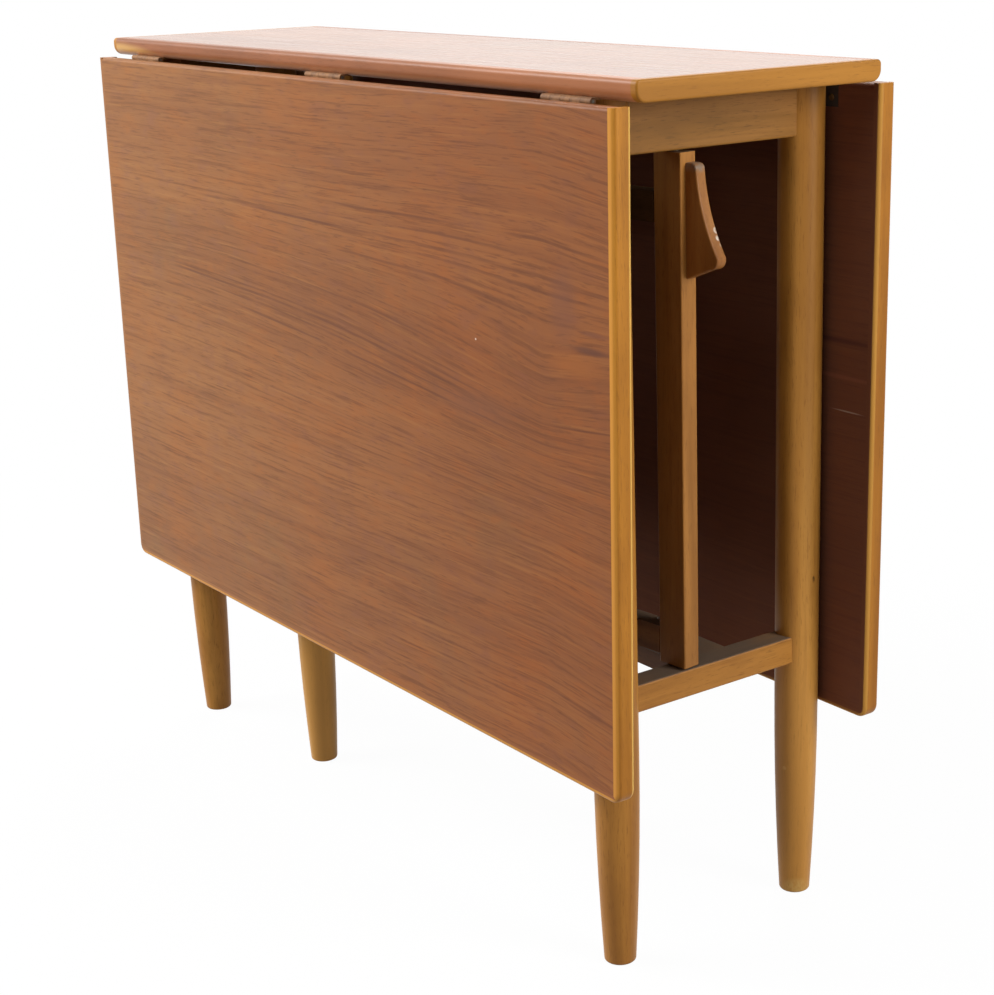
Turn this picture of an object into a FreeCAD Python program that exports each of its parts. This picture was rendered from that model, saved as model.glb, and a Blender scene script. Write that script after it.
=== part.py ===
"""Drop-leaf gateleg table, folded: a fixed top, two hanging leaves, and a swinging gate under each leaf.

Each half is the other one turned half round about the vertical, apart from the way the leaves hang and
how far each gate stands out. X runs along the top, the front leaf is on the -Y side, and the feet stand
at Z = 0.
"""
import FreeCAD, Part
import os
import re

import Sketcher
from FreeCAD import Placement, Rotation, Vector

UP = Vector(0, 0, 1)
HALF_TURN = 180
QUARTER_TURN = 90
LENGTHWISE = Vector(1, 0, 0)
ALONG_X = Rotation(Vector(0, 1, 0), QUARTER_TURN)

# Driving dimensions in millimetres, and shares of them, one cell each
DRIVING = {
    "table_height": 740,
    "board_thickness": 17,
    "top_length": 878,
    "top_width": 246,
    "leaf_inset": 3,
    "leaf_drop": 541,
    "leaf_gap": 2,
    # How far the leaves' bottom edges hang out of plumb: the front one outwards, the rear one inwards
    "front_lean": 7.84,
    "rear_lean": 3.02,
    # Edges of the top and the leaves
    "end_lipping": 7,
    "end_arris_radius": 2,
    "edge_strip": 12,
    "nose_upper_radius": 4,
    "nose_lower_radius": 9,
    "leaf_nose_radius": 3,
    "leaf_throat_radius": 6,
    "leaf_lipping": 7,
    "leaf_arris_radius": 4,
    "leaf_corner_radius": 11,
    # Turned legs
    "leg_radius": 19.2,
    "foot_radius": 13.8,
    "foot_arris_radius": 2.5,
    "taper_height": 190,
    "end_overhang": 48.8,
    "leg_hinge_clearance": 0.55,
    # End aprons and stretchers, with stub tenons in the legs
    "rail_thickness": 22,
    "rail_arris_radius": 2,
    "apron_height": 44,
    "stretcher_top": 250.5,
    "stretcher_height": 24.4,
    "tenon_thickness": 9,
    "tenon_shoulder": 5,
    "joint_clearance": 0.1,
    # Long stretcher and its dowels
    "long_stretcher_inset": 74.5,
    "long_stretcher_thickness": 16,
    "dowel_radius": 4,
    "dowel_depth": 14,
    "dowel_inset": 9,
    # Gate
    "pivot_offset": 2.3,
    "pivot_radius": 4,
    "pivot_depth": 15,
    "pivot_clearance": 0.08,
    "stile_thickness": 17,
    "stile_depth": 30,
    "stile_gap": 2,
    "stile_arris_radius": 1.5,
    "gate_reach": 535.6,
    "front_gate_set": 52.5,
    "rear_gate_set": 25.7,
    "gate_leg_gap": 1,
    "gate_rail_height": 24,
    "gate_rail_thickness": 17,
    "gate_rail_lift": 9,
    "gate_rail_drop": 34,
    "tenon_wall": 1.5,
    # Hand lever on the gate's stile
    "lever_height": 90.5,
    "lever_reach": 33.5,
    "lever_thickness": 10.5,
    "lever_setback": 5.5,
    "lever_drop": 8,
    "lever_tip_radius": 8,
    "lever_head_radius": 5,
    "lever_sweep_radius": 150,
    "lever_head_share": 0.337,
    "lever_heel_share": 0.11,
    "lever_tip_share": 1.2,
    "lever_arris_radius": 1.5,
    # Butt hinges
    "hinge_length": 62,
    "hinge_inset": 78,
    "hinge_plate_width": 22,
    "hinge_plate_thickness": 1.6,
    "knuckle_radius": 2.75,
    "knuckle_gap": 0.3,
    "pin_radius": 1.3,
    "pin_clearance": 0.05,
    "plate_clearance": 0.15,
    # Screws of the hinges and of the top
    "screw_radius": 1.5,
    "screw_head_radius": 2.9,
    "screw_length": 11,
    "screw_spacing": 23,
    "screw_row": 14.5,
    "screw_clearance": 0.05,
    "top_screw_radius": 2,
    "top_screw_head_radius": 4,
    "top_screw_head_height": 2.5,
    "top_screw_bite": 10,
    "top_screw_bury": 12,
    "top_screw_side": 62,
    # How far a cutting shape runs past the face that it opens
    "overrun": 1,
}

# Sizes and places that follow from the driving dimensions
DERIVED = {
    "underside": "table_height - board_thickness",
    "axis_side": "top_width / 2 + leaf_gap / 2",
    "axis_height": "underside - leaf_gap / 2",
    "plate_level": "leaf_gap / 2",
    "leaf_length": "top_length - 2 * leaf_inset",
    "leaf_top": "-plate_level",
    "leaf_bottom": "leaf_top - leaf_drop",
    "leaf_outer": "plate_level + board_thickness",
    "panel_half": "leaf_length / 2 - leaf_lipping",
    "mitre_half": "leaf_length / 2 - leaf_corner_radius + leaf_corner_radius * sqrt(0.5)",
    "mitre_height": "leaf_bottom + leaf_corner_radius - leaf_corner_radius * sqrt(0.5)",
    "front_lean_angle": "asin(front_lean / leaf_drop)",
    "rear_lean_angle": "asin(rear_lean / leaf_drop)",
    "front_swell": "(leaf_outer - leaf_arris_radius) * (cos(front_lean_angle) - 1)",
    "front_spread": "front_swell - (leaf_bottom + leaf_arris_radius) * sin(front_lean_angle)",
    "rear_spread": "leaf_outer * (cos(rear_lean_angle) - 1) + leaf_top * sin(rear_lean_angle)",
    "table_shift": "(front_spread - rear_spread) / 2",
    "hinge_outer": "leaf_length / 2 - hinge_inset",
    "recess_half": "hinge_length / 2 + plate_clearance",
    "recess_side": "axis_side - hinge_plate_width - plate_clearance",
    "recess_depth": "hinge_plate_thickness + plate_clearance",
    "taper_run": "taper_height - foot_arris_radius",
    "taper_depth": "leg_radius - foot_radius",
    "swell_radius": "(taper_run ^ 2 + taper_depth ^ 2) / (2 * taper_depth)",
    "leg_side": "axis_side - knuckle_radius - leg_hinge_clearance - leg_radius",
    "leg_along": "top_length / 2 - end_overhang - leg_radius",
    "rail_face": "leg_along + rail_thickness / 2",
    "rail_back": "leg_along - rail_thickness / 2",
    "scribe_radius": "leg_radius + joint_clearance",
    "rail_reach": "leg_side - sqrt(scribe_radius ^ 2 - (rail_thickness / 2) ^ 2)",
    "apron_bottom": "underside - apron_height",
    "stretcher_bottom": "stretcher_top - stretcher_height",
    "long_stretcher_half": "leg_side - long_stretcher_inset",
    "dowel_level": "stretcher_top - long_stretcher_thickness / 2",
    "pivot_along": "rail_face - stile_depth / 2",
    "pivot_side": "long_stretcher_half + pivot_offset",
    "stile_bottom": "stretcher_top + stile_gap",
    "stile_top": "apron_bottom - stile_gap",
    "gate_leg_top": "underside - gate_leg_gap",
    "gate_low": "stretcher_top + gate_rail_lift",
    "gate_high": "apron_bottom - gate_rail_drop - gate_rail_height",
    "gate_tenon": "stile_depth / 2 - pivot_radius - tenon_wall",
    "gate_shoulder": "gate_reach - sqrt(scribe_radius ^ 2 - (gate_rail_thickness / 2) ^ 2)",
    "front_gate_angle": "asin(front_gate_set / gate_reach)",
    "rear_gate_angle": "asin(rear_gate_set / gate_reach)",
    "knuckle_share": "1 / 5",
    "knuckle_pitch": "hinge_length * knuckle_share",
}

doc = FreeCAD.newDocument("drop_leaf_table")
sheet = doc.addObject("Spreadsheet::Sheet", "Sizes")
known = set(DRIVING) | set(DERIVED)
subparts = []
sideways = {}


def fill_sheet():
    """Writes every size to its own cell, under its own name."""
    cells = {name: str(number) for name, number in DRIVING.items()}
    cells.update({name: "=" + formula for name, formula in DERIVED.items()})
    for row, (name, content) in enumerate(cells.items(), start=1):
        sheet.set(f"A{row}", name)
        sheet.set(f"B{row}", content)
        sheet.setAlias(f"B{row}", name)
    doc.recompute()


def cell(text):
    """Turns words of the sheet into an expression that names their cells."""
    return re.sub("[a-z_]+", lambda word: f"Sizes.{word[0]}" if word[0] in known else word[0], text)


def number(text):
    """The present value of an expression of the sheet."""
    return float(sheet.evalExpression(cell(text)))


def turned(degrees=0):
    return Rotation(UP, degrees)


def place(item, x="0", y="0", z="0", rotation=None):
    """Puts a piece at a place of the sheet and turns it about its own origin."""
    sideways[item.Name] = y
    item.Placement = Placement(Vector(number(x), number(y), number(z)), rotation or turned())
    for axis, text in zip("xyz", (x, y, z)):
        item.setExpression(f"Placement.Base.{axis}", cell(text))
    return item


def keep(item, label):
    """Lists a finished piece under the name of its node."""
    item.Label = label
    subparts.append(item)
    return item


def new_body(label):
    return keep(doc.addObject("PartDesign::Body", label), label)


def new_sketch(body, role, name, offset="0"):
    """A sketch on one of the body's own planes, moved along the plane's normal."""
    plane = next(item for item in body.Origin.OriginFeatures if item.Role == role)
    sketch = body.newObject("Sketcher::SketchObject", f"{body.Name}_{name}")
    sketch.AttachmentSupport = (plane, [""])
    sketch.MapMode = "FlatFace"
    sketch.setExpression("AttachmentOffset.Base.z", cell(offset))
    return sketch


def bind(sketch, kind, geometry, point, text):
    """Adds one dimension to a sketch and ties it to the sheet."""
    where = (geometry, point) if point else (geometry,)
    index = sketch.addConstraint(Sketcher.Constraint(kind, *where, number(text)))
    sketch.setExpression(f"Constraints[{index}]", cell(text))


def arc_between(start, end, radius, turn):
    """The arc under a half circle from start to end that turns left (+1) or right (-1)."""
    chord = end - start
    height = max(radius ** 2 - (chord.Length / 2) ** 2, 0) ** 0.5
    left = Vector(-chord.y, chord.x, 0).normalize()
    centre = (start + end) * 0.5 + left * (height * turn)
    first, last = (start, end) if turn > 0 else (end, start)
    circle = Part.Circle(centre, UP, radius)
    return Part.ArcOfCircle(circle, circle.parameter(first), circle.parameter(last))


def outline(sketch, corners):
    """Draws a closed outline. A corner is (x, y), or (x, y, radius, turn) where an arc leaves it."""
    places = [Vector(number(corner[0]), number(corner[1]), 0) for corner in corners]
    ends = []
    for index, corner in enumerate(corners):
        start, end = places[index], places[(index + 1) % len(places)]
        if len(corner) == 2:
            geometry = sketch.addGeometry(Part.LineSegment(start, end), False)
            ends.append((geometry, 1, 2))
        else:
            turn = corner[3]
            geometry = sketch.addGeometry(arc_between(start, end, number(corner[2]), turn), False)
            ends.append((geometry, 1, 2) if turn > 0 else (geometry, 2, 1))
    for index, corner in enumerate(corners):
        geometry, first, last = ends[index]
        following = ends[(index + 1) % len(ends)]
        sketch.addConstraint(Sketcher.Constraint("Coincident", geometry, last, following[0], following[1]))
        bind(sketch, "DistanceX", geometry, first, corner[0])
        bind(sketch, "DistanceY", geometry, first, corner[1])
        if len(corner) > 2:
            bind(sketch, "Radius", geometry, None, corner[2])


def rectangle(sketch, left, right, low, high):
    outline(sketch, [(left, low), (right, low), (right, high), (left, high)])


def circle(sketch, x, y, radius):
    shape = Part.Circle(Vector(number(x), number(y), 0), UP, number(radius))
    geometry = sketch.addGeometry(shape, False)
    bind(sketch, "DistanceX", geometry, 3, x)
    bind(sketch, "DistanceY", geometry, 3, y)
    bind(sketch, "Radius", geometry, None, radius)


def pad(body, sketch, length, name="pad"):
    feature = body.newObject("PartDesign::Pad", f"{body.Name}_{name}")
    feature.Profile = sketch
    feature.setExpression("Length", cell(length))
    return feature


def pocket(body, sketch, depth, name, backwards=False):
    """Cuts a sketch into the body and makes sure that the cut took wood away."""
    doc.recompute()
    before = body.Shape.Volume
    feature = body.newObject("PartDesign::Pocket", f"{body.Name}_{name}")
    feature.Profile = sketch
    feature.Reversed = backwards
    feature.setExpression("Length", cell(depth))
    doc.recompute()
    if body.Shape.Volume >= before:
        raise ValueError(f"{body.Label}: {name} cuts nothing")
    return feature


def fillet(body, radius, wanted, name="arris"):
    """Rounds the edges of the body's present shape whose middle point is wanted."""
    doc.recompute()
    base = body.Tip
    names = []
    for index, edge in enumerate(base.Shape.Edges, start=1):
        middle = edge.valueAt((edge.FirstParameter + edge.LastParameter) / 2)
        if wanted(edge, middle):
            names.append(f"Edge{index}")
    feature = body.newObject("PartDesign::Fillet", f"{body.Name}_{name}")
    feature.Base = (base, names)
    feature.setExpression("Radius", cell(radius))
    return feature


def cylinder(name, radius, height, x="0", y="0", z="0", rotation=None):
    item = doc.addObject("Part::Cylinder", name)
    item.setExpression("Radius", cell(radius))
    item.setExpression("Height", cell(height))
    return place(item, x, y, z, rotation)


def box(name, length, width, height, x, y, z):
    item = doc.addObject("Part::Box", name)
    item.setExpression("Length", cell(length))
    item.setExpression("Width", cell(width))
    item.setExpression("Height", cell(height))
    return place(item, x, y, z)


def joined(name, items):
    item = doc.addObject("Part::MultiFuse", name)
    item.Shapes = items
    return item


def grouped(label, items):
    """Several separate solids of one kind in one node."""
    item = doc.addObject("Part::Compound", label)
    item.Links = items
    return keep(item, label)


# The fixed top

def hinge_places():
    """The three hinges of a long edge, by name and by place along it."""
    return {"left": "-hinge_outer", "centre": "0", "right": "hinge_outer"}


def sink_plates(body, role, near, far, offset, backwards):
    """Recesses that take the three hinge plates of one edge, flush with the wood."""
    sketch = new_sketch(body, role, f"plates{len(body.Group)}", offset)
    for middle in hinge_places().values():
        rectangle(sketch, f"{middle} - recess_half", f"{middle} + recess_half", near, far)
    pocket(body, sketch, "recess_depth", f"plate_recess{len(body.Group)}", backwards)


def drill_plates(body, role, row, offset, backwards):
    """Pilot holes for the three screws of each hinge plate of one edge."""
    sketch = new_sketch(body, role, f"screws{len(body.Group)}", offset)
    for middle in hinge_places().values():
        for step in ("- screw_spacing", "+ 0", "+ screw_spacing"):
            circle(sketch, f"{middle} {step}", row, "screw_radius + screw_clearance")
    pocket(body, sketch, "screw_length + screw_clearance", f"pilot{len(body.Group)}", backwards)


def make_top_panel():
    body = new_body("top_panel")
    sketch = new_sketch(body, "XY_Plane", "plan", "underside")
    half = "( top_length / 2 - end_lipping )"
    side = "( top_width / 2 - edge_strip )"
    rectangle(sketch, f"0 - {half}", half, f"0 - {side}", side)
    pad(body, sketch, "board_thickness")
    for sign in ("-", ""):
        near = f"{sign}recess_side"
        far = f"0 {sign or '+'} ( top_width / 2 )"
        low, high = (far, near) if sign else (near, far)
        sink_plates(body, "XY_Plane", low, high, "underside", True)
        row = f"0 {sign or '+'} ( axis_side - screw_row )"
        drill_plates(body, "XY_Plane", row, "underside", True)
    top_screws = new_sketch(body, "XY_Plane", "top_screws", "underside")
    for along in ("leg_along", "-leg_along"):
        for side in ("top_screw_side", "-top_screw_side"):
            circle(top_screws, along, side, "top_screw_radius + screw_clearance")
    pocket(body, top_screws, "top_screw_bite + screw_clearance", "top_screw_pilots", True)


def make_end_lipping(label, degrees):
    """A light lipping over the whole end of the top, with the rounded noses of its long edges."""
    body = new_body(label)
    sketch = new_sketch(body, "YZ_Plane", "section", "top_length / 2 - end_lipping")
    outline(sketch, [
        ("-top_width / 2 + nose_lower_radius", "underside"),
        ("top_width / 2 - nose_lower_radius", "underside", "nose_lower_radius", 1),
        ("top_width / 2", "underside + nose_lower_radius"),
        ("top_width / 2", "table_height - nose_upper_radius", "nose_upper_radius", 1),
        ("top_width / 2 - nose_upper_radius", "table_height"),
        ("-top_width / 2 + nose_upper_radius", "table_height", "nose_upper_radius", 1),
        ("-top_width / 2", "table_height - nose_upper_radius"),
        ("-top_width / 2", "underside + nose_lower_radius", "nose_lower_radius", 1),
    ])
    pad(body, sketch, "end_lipping")
    end = number("top_length / 2")
    fillet(body, "end_arris_radius", lambda edge, middle: abs(middle.x - end) < number("joint_clearance"))
    place(body, rotation=turned(degrees))


def make_edge_strip(label, degrees):
    """The teak strip along a long edge of the top, with its rounded nose."""
    body = new_body(label)
    sketch = new_sketch(body, "YZ_Plane", "section", "end_lipping - top_length / 2")
    outline(sketch, [
        ("-top_width / 2 + edge_strip", "underside"),
        ("-top_width / 2 + edge_strip", "table_height"),
        ("-top_width / 2 + nose_upper_radius", "table_height", "nose_upper_radius", 1),
        ("-top_width / 2", "table_height - nose_upper_radius"),
        ("-top_width / 2", "underside + nose_lower_radius", "nose_lower_radius", 1),
        ("-top_width / 2 + nose_lower_radius", "underside"),
    ])
    pad(body, sketch, "top_length - 2 * end_lipping")
    sink_plates(body, "XY_Plane", "-top_width / 2 - overrun", "-recess_side", "underside", True)
    place(body, rotation=turned(degrees))


# Legs, aprons and stretchers

def make_leg(label, top, mortises):
    """A turned leg: a plain cylinder that swells in to a small foot, with mortises on its +Y side."""
    body = new_body(label)
    sketch = new_sketch(body, "XZ_Plane", "section")
    outline(sketch, [
        ("0", "0"),
        ("foot_radius - foot_arris_radius", "0", "foot_arris_radius", 1),
        ("foot_radius", "foot_arris_radius", "swell_radius", 1),
        ("leg_radius", "taper_height"),
        ("leg_radius", top),
        ("0", top),
    ])
    turning = body.newObject("PartDesign::Revolution", f"{body.Name}_turning")
    turning.Profile = sketch
    turning.ReferenceAxis = (sketch, ["V_Axis"])
    cuts = new_sketch(body, "XZ_Plane", "mortises")
    half = "( tenon_thickness / 2 + joint_clearance )"
    for low, high in mortises:
        rectangle(cuts, f"0 - {half}", half,
                  f"{low} + tenon_shoulder - joint_clearance", f"{high} - tenon_shoulder + joint_clearance")
    pocket(body, cuts, "leg_radius + overrun", "mortise_cut")
    return body


def make_end_rail(label, low, height, bores):
    """A board between the two legs of one end, scribed to the round legs, with a tenon at each end."""
    body = new_body(label)
    plan = new_sketch(body, "XY_Plane", "plan", low)
    outline(plan, [
        ("rail_face", "-rail_reach"),
        ("rail_face", "rail_reach", "scribe_radius", -1),
        ("rail_back", "rail_reach"),
        ("rail_back", "-rail_reach", "scribe_radius", -1),
    ])
    pad(body, plan, height)
    tenon = new_sketch(body, "XY_Plane", "tenon", f"{low} + tenon_shoulder")
    half = "tenon_thickness / 2"
    reach = "( leg_side - joint_clearance )"
    rectangle(tenon, f"leg_along - {half}", f"leg_along + {half}", f"0 - {reach}", reach)
    pad(body, tenon, f"{height} - 2 * tenon_shoulder", "tenon_pad")
    for name, places, radius, depth, level, backwards in bores:
        sketch = new_sketch(body, "XY_Plane", name, level)
        for x, y in places:
            circle(sketch, x, y, radius)
        pocket(body, sketch, depth, f"{name}_bore", backwards)
    return body


def soften_rail(body, edges):
    """Takes the sharp arris off the long edges of a rail's outer face."""
    face = number("rail_face")
    near = number("joint_clearance")
    levels = [number(level) for level in edges]

    def wanted(edge, middle):
        along = abs(edge.tangentAt(edge.FirstParameter).y) > 1 - near
        at_level = any(abs(middle.z - level) < near for level in levels)
        return along and at_level and abs(middle.x - face) < near

    fillet(body, "rail_arris_radius", wanted)


def make_end_frame(end, degrees):
    """The legs' cross rails of one end: the apron under the top, and the stretcher below."""
    pivot_places = [("pivot_along", "-pivot_side")]
    screw_places = [("leg_along", "top_screw_side"), ("leg_along", "-top_screw_side")]
    running = "pivot_radius + pivot_clearance"
    apron = make_end_rail(f"end_apron_{end}", "apron_bottom", "apron_height", [
        ("pivot", pivot_places, running, "pivot_depth + pivot_clearance", "apron_bottom", True),
        ("screw", screw_places, "top_screw_radius + screw_clearance", "apron_height + overrun",
         "apron_bottom", True),
        ("counterbore", screw_places, "top_screw_head_radius + screw_clearance", "top_screw_bury",
         "apron_bottom", True),
    ])
    soften_rail(apron, ["apron_bottom"])
    place(apron, rotation=turned(degrees))
    stretcher = make_end_rail(f"end_stretcher_{end}", "stretcher_bottom", "stretcher_height", [
        ("pivot", pivot_places, running, "pivot_depth + pivot_clearance", "stretcher_top", False),
    ])
    soften_rail(stretcher, ["stretcher_top", "stretcher_bottom"])
    holes = new_sketch(stretcher, "YZ_Plane", "dowels", "rail_back")
    for side in dowel_sides():
        circle(holes, side, "dowel_level", "dowel_radius")
    pocket(stretcher, holes, "dowel_depth", "dowel_holes", True)
    place(stretcher, rotation=turned(degrees))


def dowel_sides():
    """Where the two dowels at each end of the long stretcher lie across it."""
    return ["long_stretcher_half - dowel_inset", "dowel_inset - long_stretcher_half"]


def make_long_stretcher():
    body = new_body("long_stretcher")
    sketch = new_sketch(body, "XY_Plane", "plan", "stretcher_top - long_stretcher_thickness")
    rectangle(sketch, "-rail_back", "rail_back", "-long_stretcher_half", "long_stretcher_half")
    pad(body, sketch, "long_stretcher_thickness")
    for name, offset, backwards in (("right", "rail_back", False), ("left", "-rail_back", True)):
        holes = new_sketch(body, "YZ_Plane", name, offset)
        for side in dowel_sides():
            circle(holes, side, "dowel_level", "dowel_radius")
        pocket(body, holes, "dowel_depth", f"{name}_holes", backwards)
    dowels = []
    for start in ("rail_back - dowel_depth", "-rail_back - dowel_depth"):
        for side in dowel_sides():
            dowels.append(cylinder(f"dowel{len(dowels)}", "dowel_radius", "2 * dowel_depth",
                                   start, side, "dowel_level", ALONG_X))
    grouped("stretcher_dowels", dowels)


def make_frame():
    make_top_panel()
    for end, degrees in (("right", 0), ("left", HALF_TURN)):
        make_end_lipping(f"top_end_lipping_{end}", degrees)
        make_end_frame(end, degrees)
    for side, degrees in (("front", 0), ("rear", HALF_TURN)):
        make_edge_strip(f"top_edge_strip_{side}", degrees)
    mortises = [("apron_bottom", "underside"), ("stretcher_bottom", "stretcher_top")]
    legs = {
        "front_right": ("", "-", 0),
        "front_left": ("-", "-", 0),
        "rear_right": ("", "", HALF_TURN),
        "rear_left": ("-", "", HALF_TURN),
    }
    for name, (along, side, degrees) in legs.items():
        leg = make_leg(f"leg_{name}", "underside", mortises)
        place(leg, f"{along}leg_along", f"{side}leg_side", "0", turned(degrees))
    make_long_stretcher()
    make_top_screws()


def make_top_screws():
    """Screws sunk in the aprons that hold the top down."""
    screws = []
    seat = "apron_bottom + top_screw_bury"
    shank = "apron_height - top_screw_bury + top_screw_bite"
    for along in ("leg_along", "-leg_along"):
        for side in ("top_screw_side", "-top_screw_side"):
            tag = f"top_screw{len(screws)}"
            screws.append(joined(tag, [
                cylinder(f"{tag}_shank", "top_screw_radius", shank, along, side, seat),
                cylinder(f"{tag}_head", "top_screw_head_radius", "top_screw_head_height", along, side,
                         "apron_bottom + top_screw_bury - top_screw_head_height"),
            ]))
    grouped("top_screws", screws)


# Hinges

FIXED_KNUCKLE_SHARES = (0, 2, 4)
LEAF_KNUCKLE_SHARES = (1, 3)
LEAF_TURN = Rotation(Vector(0, 1, -1), HALF_TURN)


def make_hinge_plate(label, knuckle_shares, seat, rotation):
    """One plate of a butt hinge: X along the pin, +Y across the plate, +Z into the wood."""
    clear = "knuckle_radius + knuckle_gap"
    solids = [box(f"{label}_plate", "hinge_length", f"hinge_plate_width - ( {clear} )",
                  "hinge_plate_thickness", "-hinge_length / 2", clear, "plate_level")]
    for share in knuckle_shares:
        start = f"{share} * knuckle_pitch - hinge_length / 2 + knuckle_gap / 2"
        length = "knuckle_pitch - knuckle_gap"
        solids.append(cylinder(f"{label}_knuckle{share}", "knuckle_radius", length, start, rotation=ALONG_X))
        solids.append(box(f"{label}_neck{share}", length, "2 * knuckle_radius", "hinge_plate_thickness",
                          start, "0", "plate_level"))
    holes = [cylinder(f"{label}_bore", "pin_radius + pin_clearance", "hinge_length + 2 * overrun",
                      "-hinge_length / 2 - overrun", rotation=ALONG_X)]
    for index, step in enumerate(("-screw_spacing", "0", "screw_spacing")):
        holes.append(screw(f"{label}_hole{index}", "screw_clearance", step, "screw_row", "plate_level"))
    plate = doc.addObject("Part::Cut", label)
    plate.Base = joined(f"{label}_solid", solids)
    plate.Tool = joined(f"{label}_holes", holes)
    keep(plate, label)
    return place(plate, *seat, rotation)


def screw(name, clearance, x, y, z, rotation=None):
    """A countersunk screw, its head at z and its point above, larger by a clearance where it is a hole."""
    head = doc.addObject("Part::Cone", f"{name}_head")
    head.setExpression("Radius1", cell(f"screw_head_radius + {clearance}"))
    head.setExpression("Radius2", cell(f"screw_radius + {clearance}"))
    head.setExpression("Height", cell("hinge_plate_thickness"))
    shank = cylinder(f"{name}_shank", f"screw_radius + {clearance}", "screw_length")
    return place(joined(name, [head, shank]), x, y, z, rotation)


def leaf_seat(side):
    """The middle of a leaf's hinge line, and the turn that hangs the leaf from it out of plumb."""
    if side == "front":
        return "0", "-axis_side", "axis_height", Rotation(LENGTHWISE, -sheet.front_lean_angle.Value)
    lean = Rotation(LENGTHWISE, sheet.rear_lean_angle.Value)
    return "0", "axis_side", "axis_height", turned(HALF_TURN) * lean


def make_hinges(side, degrees):
    """The three hinges of one leaf. The half turn takes the front ones to the rear."""
    half_turn = turned(degrees)
    hanging = leaf_seat(side)
    sign = "-" if degrees == 0 else ""
    pins = []
    fixed_screws = []
    leaf_screws = []
    for name, middle in hinge_places().items():
        along = middle if degrees == 0 else f"0 - ( {middle} )"
        seat = (along, f"{sign}axis_side", "axis_height")
        make_hinge_plate(f"hinge_{side}_{name}_top_plate", FIXED_KNUCKLE_SHARES, seat, half_turn)
        make_hinge_plate(f"hinge_{side}_{name}_leaf_plate", LEAF_KNUCKLE_SHARES, seat,
                         hanging[-1] * LEAF_TURN)
        start = f"{along} - hinge_length / 2"
        pins.append(cylinder(f"pin_{side}_{name}", "pin_radius", "hinge_length",
                             start, seat[1], seat[2], ALONG_X))
        for index, step in enumerate(("- screw_spacing", "+ 0", "+ screw_spacing")):
            tag = f"{side}_{name}{index}"
            row = f"0 {sign or '+'} ( axis_side - screw_row )"
            fixed_screws.append(screw(f"top_{tag}", "0", f"{along} {step}", row, "underside"))
            into = Rotation(LENGTHWISE, QUARTER_TURN)
            leaf_screws.append(screw(f"leaf_{tag}", "0", f"{middle} {step}", "-plate_level",
                                     "-screw_row", into))
    grouped(f"hinge_pins_{side}", pins)
    grouped(f"hinge_screws_top_{side}", fixed_screws)
    place(grouped(f"hinge_screws_leaf_{side}", leaf_screws), *hanging)


# Leaves, each drawn from the middle of its hinge line

def make_leaf(side):
    """A hanging leaf: a veneered panel with a hinge-side strip and three mitred lippings."""
    panel = new_body(f"leaf_{side}_panel")
    face = new_sketch(panel, "XZ_Plane", "face", "plate_level")
    rectangle(face, "-panel_half", "panel_half", "leaf_bottom + leaf_lipping", "leaf_top - edge_strip")
    pad(panel, face, "board_thickness")
    low = "-hinge_plate_width - plate_clearance"
    sink_plates(panel, "XZ_Plane", low, "leaf_top", "plate_level", True)
    drill_plates(panel, "XZ_Plane", "-screw_row", "plate_level", True)
    strip = new_body(f"leaf_{side}_edge_strip")
    section = new_sketch(strip, "YZ_Plane", "section", "-panel_half")
    outline(section, [
        ("-plate_level", "leaf_top - edge_strip"),
        ("-plate_level", "leaf_top - leaf_throat_radius", "leaf_throat_radius", 1),
        ("-plate_level - leaf_throat_radius", "leaf_top"),
        ("-leaf_outer + leaf_nose_radius", "leaf_top", "leaf_nose_radius", 1),
        ("-leaf_outer", "leaf_top - leaf_nose_radius"),
        ("-leaf_outer", "leaf_top - edge_strip"),
    ])
    pad(strip, section, "2 * panel_half")
    low = "leaf_top - edge_strip - overrun"
    sink_plates(strip, "XZ_Plane", low, "leaf_top + overrun", "plate_level", True)
    pieces = [panel, strip]
    inner_low = "leaf_bottom + leaf_lipping"
    corner_height = "leaf_bottom + leaf_corner_radius"
    corner_along = "( leaf_length / 2 - leaf_corner_radius )"
    right = [("panel_half", inner_low), ("mitre_half", "mitre_height", "leaf_corner_radius", 1),
             ("leaf_length / 2", corner_height), ("leaf_length / 2", "leaf_top"), ("panel_half", "leaf_top")]
    left = [("-panel_half", inner_low), ("-panel_half", "leaf_top"), ("-leaf_length / 2", "leaf_top"),
            ("-leaf_length / 2", corner_height, "leaf_corner_radius", 1), ("-mitre_half", "mitre_height")]
    bottom = [("-panel_half", inner_low), ("-mitre_half", "mitre_height", "leaf_corner_radius", 1),
              (f"0 - {corner_along}", "leaf_bottom"), (corner_along, "leaf_bottom", "leaf_corner_radius", 1),
              ("mitre_half", "mitre_height"), ("panel_half", inner_low)]
    for name, corners in (("right", right), ("left", left), ("bottom", bottom)):
        pieces.append(make_lipping(f"leaf_{side}_lipping_{name}", corners))
    for piece in pieces:
        place(piece, *leaf_seat(side))


OUTER_EDGE_SHARE = 0.6


def make_lipping(label, corners):
    """A lipping of a leaf, rounded along both of its outer edges."""
    body = new_body(label)
    sketch = new_sketch(body, "XZ_Plane", "outline", "plate_level")
    outline(sketch, corners)
    pad(body, sketch, "board_thickness")
    faces = [-number("plate_level"), -number("leaf_outer")]
    half = number("panel_half")
    low = number("leaf_bottom + leaf_lipping")
    near = number("joint_clearance")
    outside = number("leaf_lipping") * OUTER_EDGE_SHARE

    def wanted(edge, middle):
        on_face = any(abs(middle.y - face) < near for face in faces)
        beyond = max(abs(middle.x) - half, low - middle.z)
        return on_face and beyond > outside

    fillet(body, "leaf_arris_radius", wanted)
    return body


# Gates, each drawn from its pivot with the gate leg towards -X

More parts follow.
